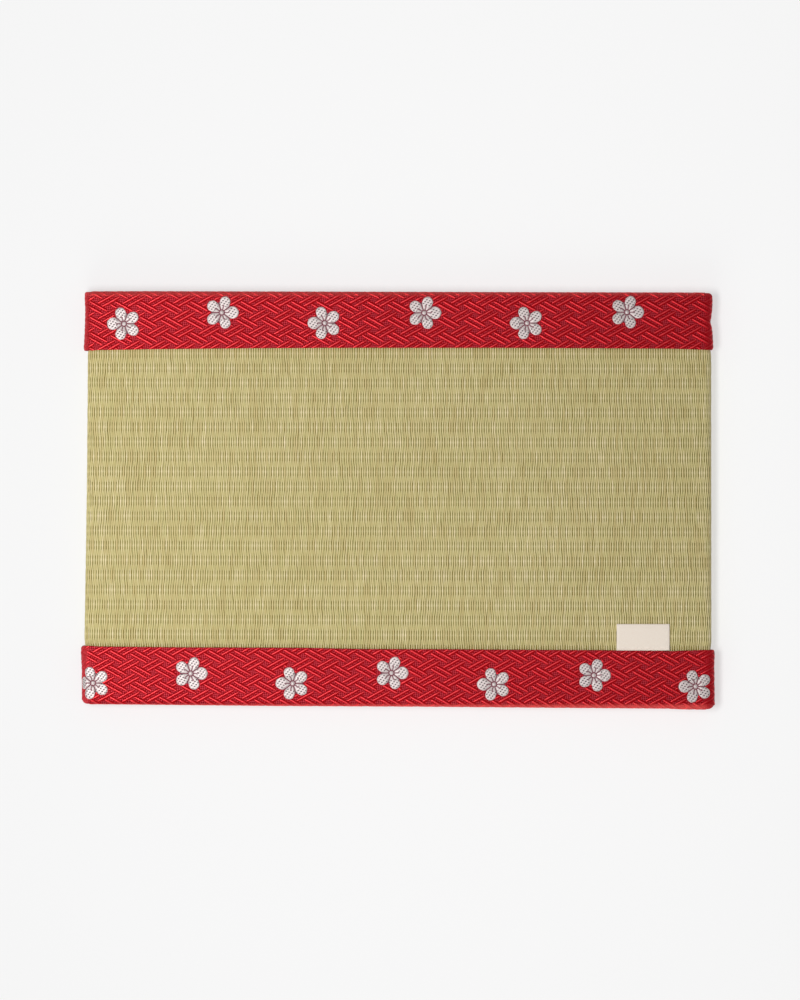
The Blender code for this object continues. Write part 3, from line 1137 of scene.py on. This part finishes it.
def buildTab():
    # a tape folded back on itself, both raw ends caught in the seam
    form = tabForm
    layer, steps, columns = form["layer"], form["steps"], form["columns"]
    front, foldStart = form["front"], form["back"] - layer
    low = form["bottom"]
    high = low + 2.0 * layer
    profile = [(mix(front, foldStart, step / steps), high) for step in range(steps + 1)]
    for step in range(1, steps):
        angle = math.pi * step / steps
        profile.append((foldStart + layer * math.sin(angle), low + layer + layer * math.cos(angle)))
    profile += [(mix(foldStart, front, step / steps), low) for step in range(steps + 1)]
    skin = newSkin()
    rows = []
    for column in range(columns + 1):
        x = mix(form["left"], form["right"], column / columns)
        rows.append([addPoint(skin, (x, y, z), (x, y + z)) for y, z in profile])
    addGrid(skin, rows, closed=True)
    skin["faces"].append(rows[0])
    skin["faces"].append(rows[-1][::-1])
    tab = makePiece("tapeTab", skin, tapeMaterial(), weld=0.001, closed=True)
    softenEdges(tab, form["softness"], 2, 60.0)
    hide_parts("tape_tab")
    print("tab done")


# The studio

studio = {
    "pixel": 0.4766,  # millimetres of the mat's face for one pixel
    "matAt": (397.65, 500.15),  # the mat's middle, in pixels of the photograph's frame
    "frameSize": (800, 1000),
    "distance": 3000.0,
    "sensor": 36.0,
    "floorTone": (0.34, 0.477),  # from left to right, against the key light's falloff
    "toneSpan": 0.19,
    "floorGlow": (0.556, 0.596),  # from front to back
    "glowSpan": 0.24,
    "skyTone": 0.22,
    # place, what it points at, size in metres and power
    "keyLight": ((-360.0, -80.0, 1300.0), (-1270.0, -80.0, 0.0), 0.6, 17.1),
    "frontLight": ((-300.0, -1300.0, 680.0), (0.0, 0.0, 0.0), 1.0, 4.4),
}


def addAreaLight(name, place, target, size, power):
    light = bpy.data.lights.new(name, "AREA")
    light.shape = "DISK"
    light.size = size
    light.energy = power
    lamp = bpy.data.objects.new(name, light)
    lamp.location = Vector(place) * mm
    lamp.rotation_euler = (Vector(target) * mm - lamp.location).to_track_quat("-Z", "Y").to_euler()
    bpy.context.scene.collection.objects.link(lamp)


def buildStudio():
    form = studio
    scene = bpy.context.scene
    camera = bpy.data.cameras.new("camera")
    camera.sensor_fit = "VERTICAL"
    camera.sensor_height = form["sensor"]
    frameWide, frameHigh = form["frameSize"]
    camera.lens = form["sensor"] * form["distance"] / (frameHigh * form["pixel"])
    camera.clip_end = 10.0
    eye = bpy.data.objects.new("camera", camera)
    offX = (0.5 * frameWide - form["matAt"][0]) * form["pixel"]
    offY = (form["matAt"][1] - 0.5 * frameHigh) * form["pixel"]
    eye.location = Vector((offX, offY, matForm["thickness"] + form["distance"])) * mm
    scene.collection.objects.link(eye)
    scene.camera = eye

    bpy.ops.mesh.primitive_plane_add(size=8.0)
    floor = bpy.context.object
    floor.name = "floor"
    material, tree, shader = newMaterial("paleFloor")
    place = addNode(tree, "ShaderNodeTexCoord")
    x, y = splitVector(tree, place.outputs["Object"])
    span = form["toneSpan"]
    tone = rangeNode(tree, x, -span, span, *form["floorTone"])
    grey = addNode(tree, "ShaderNodeCombineColor")
    for channel in grey.inputs:
        feed(tree, channel, tone)
    tree.links.new(grey.outputs[0], shader.inputs["Base Color"])
    shader.inputs["Roughness"].default_value = 0.9
    shader.inputs["Specular IOR Level"].default_value = 0.1
    shader.inputs["Emission Color"].default_value = (1.0, 1.0, 1.0, 1.0)
    span = form["glowSpan"]
    feed(tree, shader.inputs["Emission Strength"], rangeNode(tree, y, -span, span, *form["floorGlow"]))
    floor.data.materials.append(material)

    world = bpy.data.worlds.new("softSky")
    world.use_nodes = True
    sky = world.node_tree.nodes["Background"]
    sky.inputs["Color"].default_value = (1.0, 1.0, 1.0, 1.0)
    sky.inputs["Strength"].default_value = form["skyTone"]
    scene.world = world
    for name in ("keyLight", "frontLight"):
        addAreaLight(name, *form[name])
    scene.view_settings.view_transform = "Standard"
    print("studio done")


buildRush()
buildBindings()
buildTab()
buildStudio()
